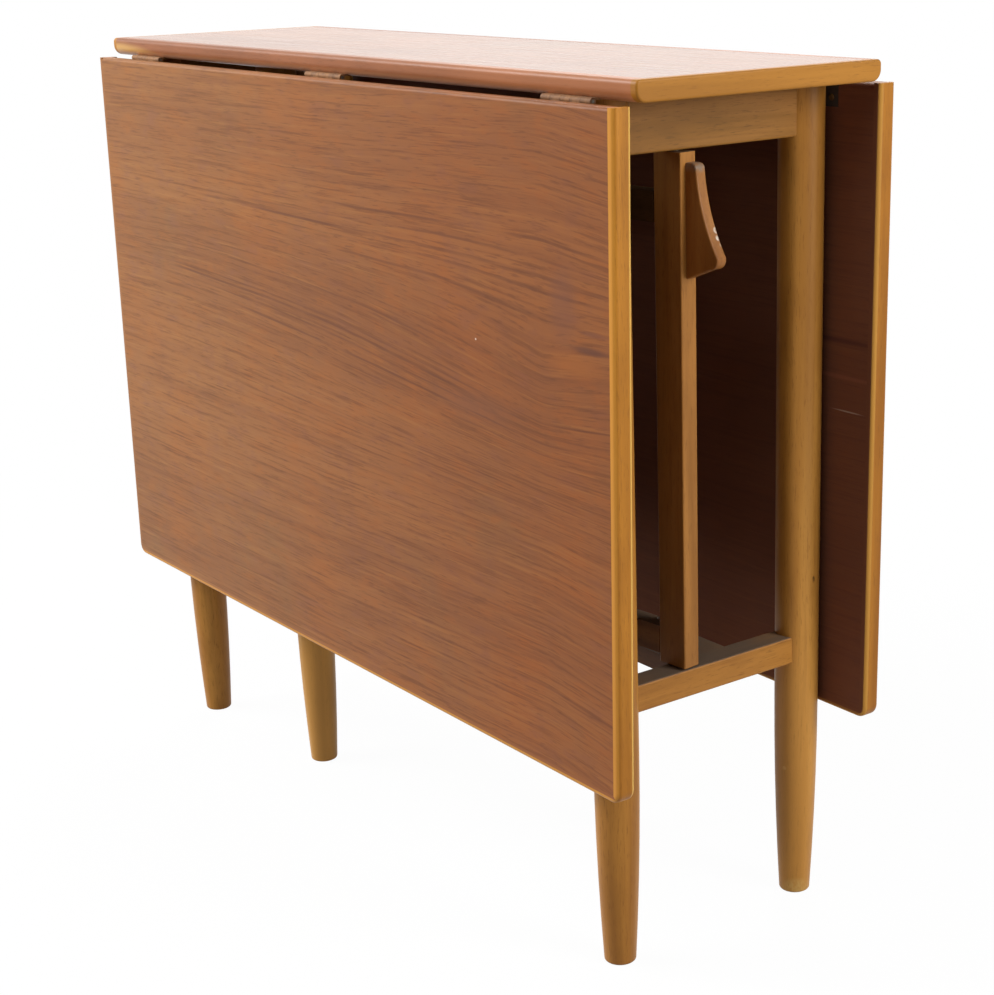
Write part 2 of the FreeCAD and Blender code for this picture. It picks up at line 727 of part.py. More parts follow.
def make_stile(label):
    """The upright that turns on two pins, with mortises for the rails in its -X face."""
    body = new_body(label)
    plan = new_sketch(body, "XY_Plane", "plan", "stile_bottom")
    half_depth = "stile_depth / 2"
    half = "stile_thickness / 2"
    rectangle(plan, f"-{half_depth}", half_depth, f"-{half}", half)
    pad(body, plan, "stile_top - stile_bottom")
    upright = 1 - number("joint_clearance")
    fillet(body, "stile_arris_radius",
           lambda edge, middle: abs(edge.tangentAt(edge.FirstParameter).z) > upright)
    for name, level, backwards in (("foot", "stile_bottom", True), ("head", "stile_top", False)):
        sketch = new_sketch(body, "XY_Plane", name, level)
        circle(sketch, "0", "0", "pivot_radius")
        pocket(body, sketch, "pivot_depth", f"{name}_bore", backwards)
    mortises = new_sketch(body, "YZ_Plane", "mortises", f"0 - {half_depth}")
    grip = "( tenon_thickness / 2 + joint_clearance )"
    for low in ("gate_low", "gate_high"):
        rectangle(mortises, f"0 - {grip}", grip, f"{low} + tenon_shoulder - joint_clearance",
                  f"{low} + gate_rail_height - tenon_shoulder + joint_clearance")
    pocket(body, mortises, "gate_tenon + joint_clearance", "mortise_cut", True)
    return body


def make_gate_rail(label, low):
    """A rail from the stile to the gate leg, scribed to the round leg, with a tenon at each end."""
    body = new_body(label)
    plan = new_sketch(body, "XY_Plane", "plan", low)
    half = "gate_rail_thickness / 2"
    stile_face = "-stile_depth / 2"
    outline(plan, [
        ("-gate_shoulder", f"-{half}"),
        (stile_face, f"-{half}"),
        (stile_face, half),
        ("-gate_shoulder", half, "scribe_radius", -1),
    ])
    pad(body, plan, "gate_rail_height")
    tenon = new_sketch(body, "XY_Plane", "tenon", f"{low} + tenon_shoulder")
    grip = "tenon_thickness / 2"
    rectangle(tenon, "joint_clearance - gate_reach", "gate_tenon - stile_depth / 2", f"-{grip}", grip)
    pad(body, tenon, "gate_rail_height - 2 * tenon_shoulder", "tenon_pad")
    return body


def make_lever(label):
    """The shaped hand lever: narrow at its head, sweeping out to a rounded tip with a rising heel."""
    body = new_body(label)
    offset = "0 - stile_thickness / 2 + lever_setback + lever_thickness"
    sketch = new_sketch(body, "XZ_Plane", "outline", f"0 - ( {offset} )")
    face = "stile_depth / 2"
    low = "( stile_top - lever_drop - lever_height )"
    head = f"{face} + lever_head_share * lever_reach"
    top = f"{low} + lever_height"
    heel = f"{low} + lever_heel_share * lever_height"
    tip = f"{heel} + lever_tip_share * lever_tip_radius"
    outline(sketch, [
        (face, low),
        (f"{face} + lever_reach - lever_tip_radius", heel, "lever_tip_radius", 1),
        (f"{face} + lever_reach", tip, "lever_sweep_radius", -1),
        (head, f"{top} - lever_head_radius", "lever_head_radius", 1),
        (f"{head} - lever_head_radius", top),
        (face, top),
    ])
    pad(body, sketch, "lever_thickness")
    near = number("joint_clearance")
    inner = number(face)
    fillet(body, "lever_arris_radius", lambda edge, middle: middle.x > inner + near
           and abs(edge.tangentAt(edge.FirstParameter).y) < near)
    return body


def make_gate(side, degrees):
    """One gate, folded: its stile at the end frame, its leg standing a little out from the pivot."""
    mortises = [(low, f"{low} + gate_rail_height") for low in ("gate_low", "gate_high")]
    pieces = [make_stile(f"gate_{side}_stile"), make_lever(f"gate_{side}_lever"),
              make_gate_rail(f"gate_{side}_lower_rail", "gate_low"),
              make_gate_rail(f"gate_{side}_upper_rail", "gate_high")]
    sign = "" if degrees == 0 else "-"
    opposite = "-" if degrees == 0 else ""
    pivot = (f"{sign}pivot_along", f"{opposite}pivot_side", "0")
    angle = getattr(sheet, f"{side}_gate_angle").Value + degrees
    for piece in pieces:
        place(piece, *pivot, turned(angle))
    leg = make_leg(f"gate_{side}_leg", "gate_leg_top", mortises)
    along = f"{pivot[0]} {opposite or '+'} gate_reach * cos( {side}_gate_angle )"
    out = f"{pivot[1]} {opposite or '+'} {side}_gate_set"
    place(leg, along, out, "0", turned(angle - QUARTER_TURN))
    pins = []
    length = "2 * pivot_depth + stile_gap"
    for level in ("stretcher_top - pivot_depth", "stile_top - pivot_depth"):
        name = f"gate_{side}_pin{len(pins)}"
        pins.append(cylinder(name, "pivot_radius", length, pivot[0], pivot[1], level))
    grouped(f"gate_{side}_pivot_pins", pins)


def centre_table():
    """Moves the whole table across by half of what the leaning front leaf reaches out."""
    for item in subparts:
        item.setExpression("Placement.Base.y", cell(f"{sideways.get(item.Name, 0)} + table_shift"))


def check_pieces():
    """Stops if any piece failed, so that nothing half made is written."""
    doc.recompute()
    for item in doc.Objects:
        if "Invalid" in item.State or "Error" in item.State:
            raise ValueError(f"{item.Label} failed: {item.State}")
    for item in subparts:
        if item.Shape.isNull() or not item.Shape.isValid():
            raise ValueError(f"{item.Label} has no valid solid")


def write_pieces():
    os.makedirs("parts", exist_ok=True)
    for item in subparts:
        item.Shape.exportStep(f"parts/{item.Label}.step")
        size = item.Shape.BoundBox
        print(f"{item.Label}: {len(item.Shape.Solids)} solid, {size.XLength:.1f} x {size.YLength:.1f}"
              f" x {size.ZLength:.1f} mm")


fill_sheet()
make_frame()
for which, half_turn in (("front", 0), ("rear", HALF_TURN)):
    make_hinges(which, half_turn)
    make_leaf(which)
    make_gate(which, half_turn)
centre_table()
check_pieces()
write_pieces()
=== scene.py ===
# %% [markdown]
# # A folded drop-leaf table, dressed
# The table arrives as finished solids: a narrow top, a leaf hanging on each long side, turned legs,
# and a gate behind each leaf. The solids are never moved. This lesson gives each of them its wood or
# metal, adds the small fittings that are too fine for the solids, and lights the whole like a
# photograph in a plain white studio.

# %% Load the table
import math

import bpy
from mathutils import Matrix, Vector


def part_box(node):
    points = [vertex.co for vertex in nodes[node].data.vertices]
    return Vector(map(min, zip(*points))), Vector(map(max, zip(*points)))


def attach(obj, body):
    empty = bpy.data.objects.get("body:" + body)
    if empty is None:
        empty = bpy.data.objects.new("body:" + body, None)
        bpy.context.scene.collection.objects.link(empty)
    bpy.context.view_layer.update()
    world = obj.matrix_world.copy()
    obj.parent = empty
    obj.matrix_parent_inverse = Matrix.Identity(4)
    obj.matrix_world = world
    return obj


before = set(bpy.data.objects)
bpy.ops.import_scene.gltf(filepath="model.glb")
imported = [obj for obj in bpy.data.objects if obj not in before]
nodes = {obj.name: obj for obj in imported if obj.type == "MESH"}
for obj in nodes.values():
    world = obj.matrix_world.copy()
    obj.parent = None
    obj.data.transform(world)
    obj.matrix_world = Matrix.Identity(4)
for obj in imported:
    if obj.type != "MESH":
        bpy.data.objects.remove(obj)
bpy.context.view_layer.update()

# %% [markdown]
# ## Tools for building a finish
# A finish is a small net of nodes that ends in one shader. Wiring nodes by hand takes many lines, so
# these helpers do what every wood needs: add a node, do a sum, and mix two colours. Colours are
# written as a painter would pick them from a screen and turned to linear light once.

# %% Node helpers
def ink(code):
    """A screen colour such as A0643F as linear light."""
    parts = [int(code[start:start + 2], 16) / 255 for start in (0, 2, 4)]
    linear = [part / 12.92 if part <= 0.04045 else ((part + 0.055) / 1.055) ** 2.4 for part in parts]
    return tuple(linear) + (1.0,)


def grey(value):
    """A grey, given as linear light."""
    return (value, value, value, 1.0)


def feed(tree, socket, value):
    """Plugs another node into a socket, or sets the socket's own value."""
    if isinstance(value, bpy.types.NodeSocket):
        tree.links.new(value, socket)
    else:
        socket.default_value = value


def add(tree, kind, inputs, **settings):
    """Adds a node, sets its options, and feeds its inputs by name or by number."""
    made = tree.nodes.new("ShaderNode" + kind)
    for key, value in settings.items():
        setattr(made, key, value)
    for key, value in inputs.items():
        feed(tree, made.inputs[key], value)
    return made


def calc(tree, how, first, second=0.0, third=0.0):
    """One sum on numbers."""
    return add(tree, "Math", {0: first, 1: second, 2: third}, operation=how).outputs[0]


def times(tree, first, second):
    """One number times another."""
    return calc(tree, "MULTIPLY", first, second)


def split(tree, vector):
    """The X, Y and Z of a place or a direction."""
    return add(tree, "SeparateXYZ", {0: vector}).outputs


def fade(tree, value, start, end, low=0.0, high=1.0):
    """Goes softly from low to high while value goes from start to end."""
    made = add(tree, "MapRange", {"Value": value, "From Min": start, "From Max": end,
                                  "To Min": low, "To Max": high}, interpolation_type="SMOOTHSTEP")
    return made.outputs["Result"]


def blend(tree, share, first, second, how="MIX"):
    """Mixes two colours by a share."""
    made = add(tree, "Mix", {0: share, 6: first, 7: second}, data_type="RGBA", blend_type=how)
    return made.outputs[2]


print("helpers ready: screen grey 808080 is", round(ink("808080")[0], 3), "in linear light")

# %% [markdown]
# ## Patterns on wood
# Wood never has one colour. Soft noise makes its bands, clouds and pores when it is stretched along the
# grain, and each pattern lays one more tone over those below, as a painter glazes. Knots, chips and
# scratches sit at one place each, so they are single soft spots. Painting a picture would also work, but
# it would need unwrapped faces; these patterns read the place on the solid itself.

# %% Pattern helpers
SMALL_MARK = 0.03


def cloud(tree, place, stretch, detail=2.0, rough=0.5, seed=0.0):
    """Soft noise from 0 to 1. The stretch says how many features fit in a metre, axis by axis."""
    moved = add(tree, "VectorMath", {0: place, 1: stretch, 2: (seed, seed * 1.7, seed * 2.3)},
                operation="MULTIPLY_ADD").outputs[0]
    made = add(tree, "TexNoise", {"Vector": moved, "Scale": 1.0, "Detail": detail, "Roughness": rough})
    return made.outputs["Fac"]


def waver(tree, place, stretch, seed):
    """Soft noise on both sides of 0, to push a line out of true."""
    return calc(tree, "SUBTRACT", cloud(tree, place, stretch, seed=seed), 0.5)


def lay(tree, colour, pattern, start, end, share, tone):
    """Lays a tone over a colour, up to a share, while the pattern goes from start to end."""
    return blend(tree, fade(tree, pattern, start, end, 0.0, share), colour, tone)


def spot(tree, place, centre, radii, soft):
    """1 inside a small egg-shaped place on the wood, fading to 0 at its rim."""
    near = add(tree, "VectorMath", {0: place, 1: centre}, operation="SUBTRACT").outputs[0]
    scaled = add(tree, "VectorMath", {0: near, 1: radii}, operation="DIVIDE").outputs[0]
    length = add(tree, "VectorMath", {0: scaled}, operation="LENGTH").outputs["Value"]
    return fade(tree, length, 1.0, 1.0 - soft)


def paint_marks(tree, colour, place, marks, soft, crumbs=None):
    """Paints single marks: each is its middle, its half widths, its colour and its strength.
    Small marks are ragged where a pattern of crumbs is given."""
    for centre, radii, code, strength in marks:
        mask = spot(tree, place, centre, radii, soft)
        if crumbs is not None and max(radii) < SMALL_MARK:
            mask = times(tree, mask, crumbs)
        colour = blend(tree, times(tree, mask, strength), colour, ink(code))
    return colour


print("patterns ready; a mark under", SMALL_MARK, "m can be ragged")

# %% [markdown]
# ## Starting and closing a finish
# Every finish starts from the same shader, and every wood ends the same way: the colour goes in, and the
# pores get a slight relief, so that light breaks on them. The faces of a leaf that nobody sees were never
# polished, and there the gloss is taken off.

# %% Finish helpers
BARE_POLISH = 0.03
PORE_RELIEF, PORE_DEPTH = 0.10, 0.0004


def new_finish(name, roughness, specular):
    """An empty finish: its material, its node tree, its shader and its coordinates."""
    material = bpy.data.materials.new(name)
    material.use_nodes = True
    tree = material.node_tree
    shader = tree.nodes["Principled BSDF"]
    shader.inputs["Roughness"].default_value = roughness
    shader.inputs["Specular IOR Level"].default_value = specular
    coordinates = tree.nodes.new("ShaderNodeTexCoord").outputs
    return material, tree, shader, coordinates


def take_off_polish(tree, shader, share, start, end):
    """Takes the gloss off a finish while a share goes from start to end."""
    polish = shader.inputs["Specular IOR Level"]
    feed(tree, polish, fade(tree, share, start, end, polish.default_value, BARE_POLISH))


def close_wood(tree, shader, colour, pores):
    """Plugs the colour in and gives the pores their relief."""
    feed(tree, shader.inputs["Base Color"], colour)
    relief = add(tree, "Bump", {"Strength": PORE_RELIEF, "Distance": PORE_DEPTH, "Height": pores})
    feed(tree, shader.inputs["Normal"], relief.outputs[0])


def dress(material, names):
    """Gives a finish to solids, by the names of their nodes."""
    for name in names:
        nodes[name].data.materials.clear()
        nodes[name].data.materials.append(material)
    print(material.name, "on", len(names), "pieces")


print("finish helpers ready for", len(nodes), "solids")

# %% [markdown]
# ## Teak veneer
# The broad faces are sliced teak: warm brown, with broad bands, clusters of thin dark lines, and
# pores that show as short dashes. All of these follow the grain, so the trick is to bend the
# coordinates first and then lay stretched noise along them. A picture of wood would be quicker, but
# it repeats and has a fixed size; noise does not, and it runs on over an edge as real wood does.

# %% Teak tones
# The bare tone is dark unpolished teak; on unseen faces it also serves as painted shade.
TEAK_CODES = {"deep": "8B562E", "warm": "9A6234", "streak": "7C4B29", "fine": "744626", "pale": "AA723C",
              "orange": "A45E24", "grey": "7E5C38", "mauve": "84543E", "line": "643A22", "pore": "663C20",
              "bare": "70463A"}
TEAK = {tone: ink(code) for tone, code in TEAK_CODES.items()}
print("teak is mixed from", len(TEAK), "tones")

# %% [markdown]
# ## The figure of the front leaf
# On the front leaf the grain isn't straight. In a belt across the middle it falls to the right and turns
# up close to the end; above and below the belt it rises gently and turns down. It could be drawn as many
# curves, but then the noise would cross them. A formula for how far the grain has moved bends all of it.

# %% Bend the grain
BELT_HEIGHT, BELT_SPREAD = 0.495, 0.085
TURN_AT, TURN_ROUNDING, TURN_SLOPE = 0.345, 0.01, 0.11
RISE_SLOPE, FALL_SLOPE, FALL_BEND = 0.025, -0.083, -0.11


def leaf_figure(tree, x, z):
    """The level of the grain at a place on the front leaf."""
    belt = calc(tree, "DIVIDE", calc(tree, "SUBTRACT", z, BELT_HEIGHT), BELT_SPREAD)
    belt = calc(tree, "POWER", math.e, times(tree, times(tree, belt, belt), -1.0))
    past = calc(tree, "SUBTRACT", x, TURN_AT)
    outer = calc(tree, "SQRT", calc(tree, "MULTIPLY_ADD", past, past, TURN_ROUNDING ** 2))
    outer = times(tree, calc(tree, "ADD", past, outer), 0.5)
    inner = calc(tree, "SUBTRACT", x, outer)
    rise = times(tree, calc(tree, "MAXIMUM", inner, 0.0), RISE_SLOPE)
    off_belt = calc(tree, "MULTIPLY_ADD", outer, -TURN_SLOPE, rise)
    fall = times(tree, inner, calc(tree, "MULTIPLY_ADD", inner, FALL_BEND, FALL_SLOPE))
    on_belt = calc(tree, "MULTIPLY_ADD", outer, TURN_SLOPE, fall)
    moved = calc(tree, "MULTIPLY_ADD", belt, calc(tree, "SUBTRACT", on_belt, off_belt), off_belt)
    return calc(tree, "SUBTRACT", z, moved)


print("the belt lies", BELT_HEIGHT, "m above the floor; the grain turns", TURN_AT, "m right of the middle")

# %% [markdown]
# ## Growth lines, fading and painted sheen
# Clusters of thin dark lines cross the front leaf. Noise puts such lines anywhere, so the ones that an eye
# remembers are drawn: each has its own level in the bent grain, wanders a little, breaks up here and there
# and fades out at both ends. The leaf's left end is paler and less red while its right end keeps its red:
# partly fading by years of window light, partly painted sheen. That is one soft wash over everything.

# %% Lines and wash
LINE_WANDER, LINE_CORE = 0.007, 0.2
START_FADE, END_FADE = 0.05, 0.03
LEAF_REACH = 0.42
# The wash on the left end is partly fading and partly painted sheen.
KEPT_RED, PALED_AND_SHEENED = (0.93, 0.82, 0.77, 1.0), (1.05, 1.13, 1.18, 1.0)


def draw_lines(tree, colour, place, x, level, lines, seed):
    """Thin dark growth lines: each at its own level, from one place along the leaf to another."""
    broken = fade(tree, cloud(tree, place, (9.0, 0.0, 70.0), seed=seed), 0.34, 0.60, 0.25, 1.0)
    for index, (height, half, strength, start, end) in enumerate(lines):
        drift = waver(tree, place, (3.2, 0.0, 0.0), seed + 2.7 * index)
        moved = calc(tree, "MULTIPLY_ADD", drift, LINE_WANDER, level)
        away = calc(tree, "ABSOLUTE", calc(tree, "SUBTRACT", moved, height))
        mask = times(tree, fade(tree, away, half, half * LINE_CORE, 0.0, strength), broken)
        begun = fade(tree, x, start - START_FADE, start + START_FADE)
        not_over = fade(tree, x, end + END_FADE, end - END_FADE)
        colour = blend(tree, times(tree, mask, times(tree, begun, not_over)), colour, TEAK["line"])
    return colour


def bleach_and_sheen(tree, place, colour):
    """Pales the left end of the front leaf, partly as fading and partly as painted sheen, and keeps the red
    of its right end.
    """
    left_wash = fade(tree, split(tree, place)["X"], LEAF_REACH, -LEAF_REACH)
    return blend(tree, 1.0, colour, blend(tree, left_wash, KEPT_RED, PALED_AND_SHEENED), "MULTIPLY")


print("lines wander by up to", LINE_WANDER * 500, "mm each way; the wash runs over", 2 * LEAF_REACH, "m")

# %% [markdown]
# ## The veneer recipe
# The order is that of the eye: broad bands first, then blotches, then streaks, then the finest lines and
# pores, and single marks on top. The unseen face of a leaf is unpolished and painted dark as painted shade,
# which keeps the space between the leaves as dark as it is on the real table.

# %% Veneer recipe
SWAY, TREMBLE = 0.007, 0.0014
VENEER_MARK_SOFT = 0.8
# The share of the bare tone on an unseen face: partly its unpolished wood, partly painted shade between the
# leaves.
BARE_AND_SHADE_SHARE = 0.72


def make_veneer(name, across, seed, roughness, specular, figure=None, lines=(), marks=(), hidden=0.0,
                sunned_and_sheened=False):
    """Teak with its grain along X. The figure bends the grain, then come drawn lines and single marks.
    Hidden is the way the unseen face looks along Y: 1 or -1. The sunned flag adds the paled left end: partly
    fading, partly painted sheen."""
    material, tree, shader, coordinates = new_finish(name, roughness, specular)
    place = coordinates["Object"]
    axes = split(tree, place)
    x, level, side = axes["X"], axes[across], axes["Y" if across == "Z" else "Z"]
    if figure:
        level = figure(tree, x, level)
    level = calc(tree, "MULTIPLY_ADD", waver(tree, place, (1.5, 3.0, 3.0), seed), SWAY, level)
    level = calc(tree, "MULTIPLY_ADD", waver(tree, place, (9.0, 14.0, 14.0), seed + 3), TREMBLE, level)
    flow = add(tree, "CombineXYZ", {0: x, 1: side, 2: level}).outputs[0]
    broad = cloud(tree, flow, (0.7, 6.0, 14.0), 3.0, 0.55, seed + 7)
    colour = lay(tree, TEAK["deep"], broad, 0.32, 0.66, 1.0, TEAK["warm"])
    blotch = cloud(tree, place, (7.0, 5.0, 5.0), 3.0, 0.55, seed + 11)
    colour = lay(tree, colour, blotch, 0.52, 0.72, 0.40, TEAK["orange"])
    colour = lay(tree, colour, blotch, 0.46, 0.30, 0.40, TEAK["grey"])
    mottle = cloud(tree, place, (30.0, 20.0, 70.0), 3.0, 0.6, seed + 13)
    colour = lay(tree, colour, mottle, 0.50, 0.72, 0.38, TEAK["orange"])
    colour = lay(tree, colour, mottle, 0.48, 0.30, 0.34, TEAK["mauve"])
    streak = cloud(tree, flow, (3.0, 12.0, 120.0), 3.0, 0.6, seed + 17)
    colour = lay(tree, colour, streak, 0.48, 0.72, 0.45, TEAK["streak"])
    pale = cloud(tree, flow, (9.0, 30.0, 300.0), 2.0, 0.6, seed + 21)
    colour = lay(tree, colour, pale, 0.52, 0.74, 0.42, TEAK["pale"])
    fine = cloud(tree, flow, (11.0, 30.0, 400.0), 3.0, 0.65, seed + 23)
    colour = lay(tree, colour, fine, 0.49, 0.70, 0.68, TEAK["fine"])
    if lines:
        colour = draw_lines(tree, colour, place, x, level, lines, seed + 41)
    pores = cloud(tree, flow, (48.0, 60.0, 700.0), 2.0, 0.6, seed + 31)
    colour = lay(tree, colour, pores, 0.54, 0.72, 0.45, TEAK["pore"])
    colour = paint_marks(tree, colour, place, marks, VENEER_MARK_SOFT)
    if sunned_and_sheened:
        colour = bleach_and_sheen(tree, place, colour)
    if hidden:
        # Painted shade: the unseen face is darkened towards the bare tone, and its gloss is taken off.
        facing = split(tree, coordinates["Normal"])["Y"]
        unpolished_and_shaded = fade(tree, times(tree, facing, hidden), 0.4, 0.9, 0.0, BARE_AND_SHADE_SHARE)
        colour = blend(tree, unpolished_and_shaded, colour, TEAK["bare"])
        take_off_polish(tree, shader, unpolished_and_shaded, 0.0, 0.7)
    feed(tree, shader.inputs["Roughness"], fade(tree, fine, 0.35, 0.70, roughness - 0.02, roughness + 0.04))
    close_wood(tree, shader, colour, pores)
    return material


print("veneer recipe ready; an unseen face is", BARE_AND_SHADE_SHARE, "bare wood")

# %% [markdown]
# ## Veneer on the front leaf
# This is the face that everyone looks at, so it gets the figure, the lines and a few marks of its own, all
# in its right half: two brown shadows, an orange patch, two short dark streaks and one white fleck. The
# strip along the hinged edge wears the same veneer, so that the grain runs on without a seam.

# %% Veneer the front leaf
LEAF_ROUGHNESS, LEAF_SPECULAR = 0.45, 0.19
FRONT_Y, ANY_DEPTH = -0.14, 1.0
# A line is its level, half its width, its strength, and where it starts and ends along the leaf
front_lines = [
    (0.617, 0.0016, 0.60, 0.00, 0.43),
    (0.606, 0.0014, 0.55, -0.10, 0.43),
    (0.597, 0.0018, 0.75, -0.22, 0.43),
    (0.589, 0.0014, 0.55, -0.05, 0.43),
    (0.577, 0.0016, 0.55, 0.05, 0.34),
    (0.537, 0.0013, 0.40, -0.20, 0.20),
    (0.514, 0.0014, 0.55, -0.35, 0.43),
    (0.508, 0.0018, 0.75, -0.35, 0.36),
    (0.499, 0.0014, 0.60, -0.25, 0.43),
    (0.490, 0.0017, 0.65, -0.15, 0.38),
    (0.478, 0.0013, 0.45, 0.00, 0.40),
    (0.425, 0.0013, 0.35, -0.10, 0.30),
    (0.300, 0.0014, 0.40, 0.10, 0.43),
    (0.246, 0.0016, 0.45, 0.05, 0.43),
    (0.225, 0.0014, 0.40, 0.18, 0.43),
]
front_marks = [
    ((0.372, FRONT_Y, 0.572), (0.026, ANY_DEPTH, 0.046), "7D5340", 0.45),
    ((0.388, FRONT_Y, 0.528), (0.050, ANY_DEPTH, 0.014), "A8682F", 0.55),
    ((0.405, FRONT_Y, 0.5415), (0.034, ANY_DEPTH, 0.0042), "66402F", 0.80),
    ((0.410, FRONT_Y, 0.5545), (0.026, ANY_DEPTH, 0.0030), "71483A", 0.55),
    ((0.250, FRONT_Y, 0.472), (0.075, ANY_DEPTH, 0.018), "7F5742", 0.30),
    ((0.253, FRONT_Y, 0.528), (0.0014, ANY_DEPTH, 0.0012), "F3EADD", 1.0),
]
front_veneer = make_veneer("veneer_front_leaf", "Z", 2.0, LEAF_ROUGHNESS, LEAF_SPECULAR, leaf_figure,
                           front_lines, front_marks, hidden=1.0, sunned_and_sheened=True)
dress(front_veneer, ["leaf_front_panel"])
dress(front_veneer, ["leaf_front_edge_strip"])

# %% [markdown]
# ## Veneer on the rear leaf and the top
# Of the rear leaf's veneer only the inner face shows, beside the open end: dark, with a pale scratch, a dark
# streak and a lighter one. The top is the same teak polished brighter, because hands and cloths have
# rubbed it; seen at a flat angle it mirrors the light behind it and looks nearly white.

# %% Veneer the rear leaf and the top
TOP_ROUGHNESS, TOP_SPECULAR = 0.26, 0.50
INNER_Y, INNER_DEPTH = 0.129, 0.02
rear_marks = [
    ((0.407, INNER_Y, 0.4504), (0.024, INNER_DEPTH, 0.0010), "FFE6CC", 1.0),
    ((0.400, INNER_Y, 0.5098), (0.060, INNER_DEPTH, 0.0035), "1E0E08", 0.9),
    ((0.400, INNER_Y, 0.4790), (0.060, INNER_DEPTH, 0.0030), "C07850", 0.8),
]
rear_veneer = make_veneer("veneer_rear_leaf", "Z", 21.0, LEAF_ROUGHNESS, LEAF_SPECULAR, marks=rear_marks,
                          hidden=-1.0)
dress(rear_veneer, ["leaf_rear_panel"])
dress(rear_veneer, ["leaf_rear_edge_strip"])
top_veneer = make_veneer("veneer_top", "Y", 43.0, TOP_ROUGHNESS, TOP_SPECULAR)
dress(top_veneer, ["top_panel"])

# %% [markdown]
# ## Solid woods
# The strips and the levers are solid teak, the lippings a pale honey-coloured wood, and the frame a
# stained beech. One recipe serves them all: the palette and the way the grain runs change from piece
# to piece. Grain that runs the wrong way is the first thing that gives a model away, so a rail, a leg
# and a lipping each get their own direction. Some faces need a look of their own: what looks up gathers
# dust, and a lipping is honey outside, with painted shade on its inner face and a painted highlight along
# its arris.

# %% Faces with a look of their own
DUST, SIDE_SHADE, OUTER_HONEY = ink("5E544A"), ink("2E1A12"), ink("DE983A")
ARRIS_HIGHLIGHT_FRONT, ARRIS_HIGHLIGHT_REAR = ink("E9BA62"), ink("CE9648")
INNER_SHADE, SKIN_BLUR = 0.55, 0.001


def along(axis, lengthwise, crosswise):
    """A stretch that is slow along the grain and quick across it."""
    return tuple(lengthwise if name == axis else crosswise for name in "XYZ")


def settle_dust(tree, colour, coordinates, patches, dust):
    """Grey dust on faces that look up, thinner where the patches are low."""
    up = split(tree, coordinates["Normal"])["Z"]
    uneven = fade(tree, patches, 0.25, 0.60, 0.65, 1.0)
    return blend(tree, times(tree, fade(tree, up, 0.55, 0.9, 0.0, dust), uneven), colour, DUST)


def face_lipping(tree, shader, colour, coordinates, streak, hidden, skin):
    """The faces of a leaf's lipping: a honey outer face, a painted highlight along the arris, and painted
    shade on the inner face.
    Where a skin height is given, the veneer above it runs on over both flat faces."""
    place = coordinates["Object"]
    facing = split(tree, coordinates["Normal"])["Y"]
    side = times(tree, facing, hidden)
    inward = fade(tree, side, -0.5, 0.5)
    flat = fade(tree, calc(tree, "ABSOLUTE", facing), 0.90, 0.98)
    take_off_polish(tree, shader, inward, 0.8, 1.0)
    # Painted highlight: the arris turned towards the inner side is lit up, brighter on the front leaf than
    # on the rear.
    colour = lay(tree, colour, side, 0.0, 0.4, 0.9, ARRIS_HIGHLIGHT_FRONT if hidden > 0 else ARRIS_HIGHLIGHT_REAR)
    colour = lay(tree, colour, side, -0.5, -0.85, 0.7, OUTER_HONEY)
    # Painted shade: the inner flat face is darkened towards the bare tone.
    colour = blend(tree, times(tree, times(tree, inward, flat), INNER_SHADE), colour, TEAK["bare"])
    if skin is not None:
        veneer = lay(tree, TEAK["warm"], streak, 0.45, 0.75, 0.5, TEAK["fine"])
        if hidden > 0:
            veneer = bleach_and_sheen(tree, place, veneer)
        # Painted shade on the inner face of the veneer skin as well.
        veneer = blend(tree, times(tree, inward, BARE_AND_SHADE_SHARE), veneer, TEAK["bare"])
        above = fade(tree, split(tree, place)["Z"], skin, skin + SKIN_BLUR)
        colour = blend(tree, times(tree, above, flat), colour, veneer)
    return colour


print("a stretch along X looks like", along("X", 1.6, 34.0))

# %% [markdown]
# ## The solid-wood recipe
# A board is banded, patchy and streaked, and its pores lie along the grain. Bands alone look like plastic,
# so a slow sway bends them first. Dust, painted shade on the sides and single marks are added only where
# a piece has them.

# %% Solid-wood recipe
SOLID_SWAY, SOLID_MARK_SOFT = 0.012, 0.5


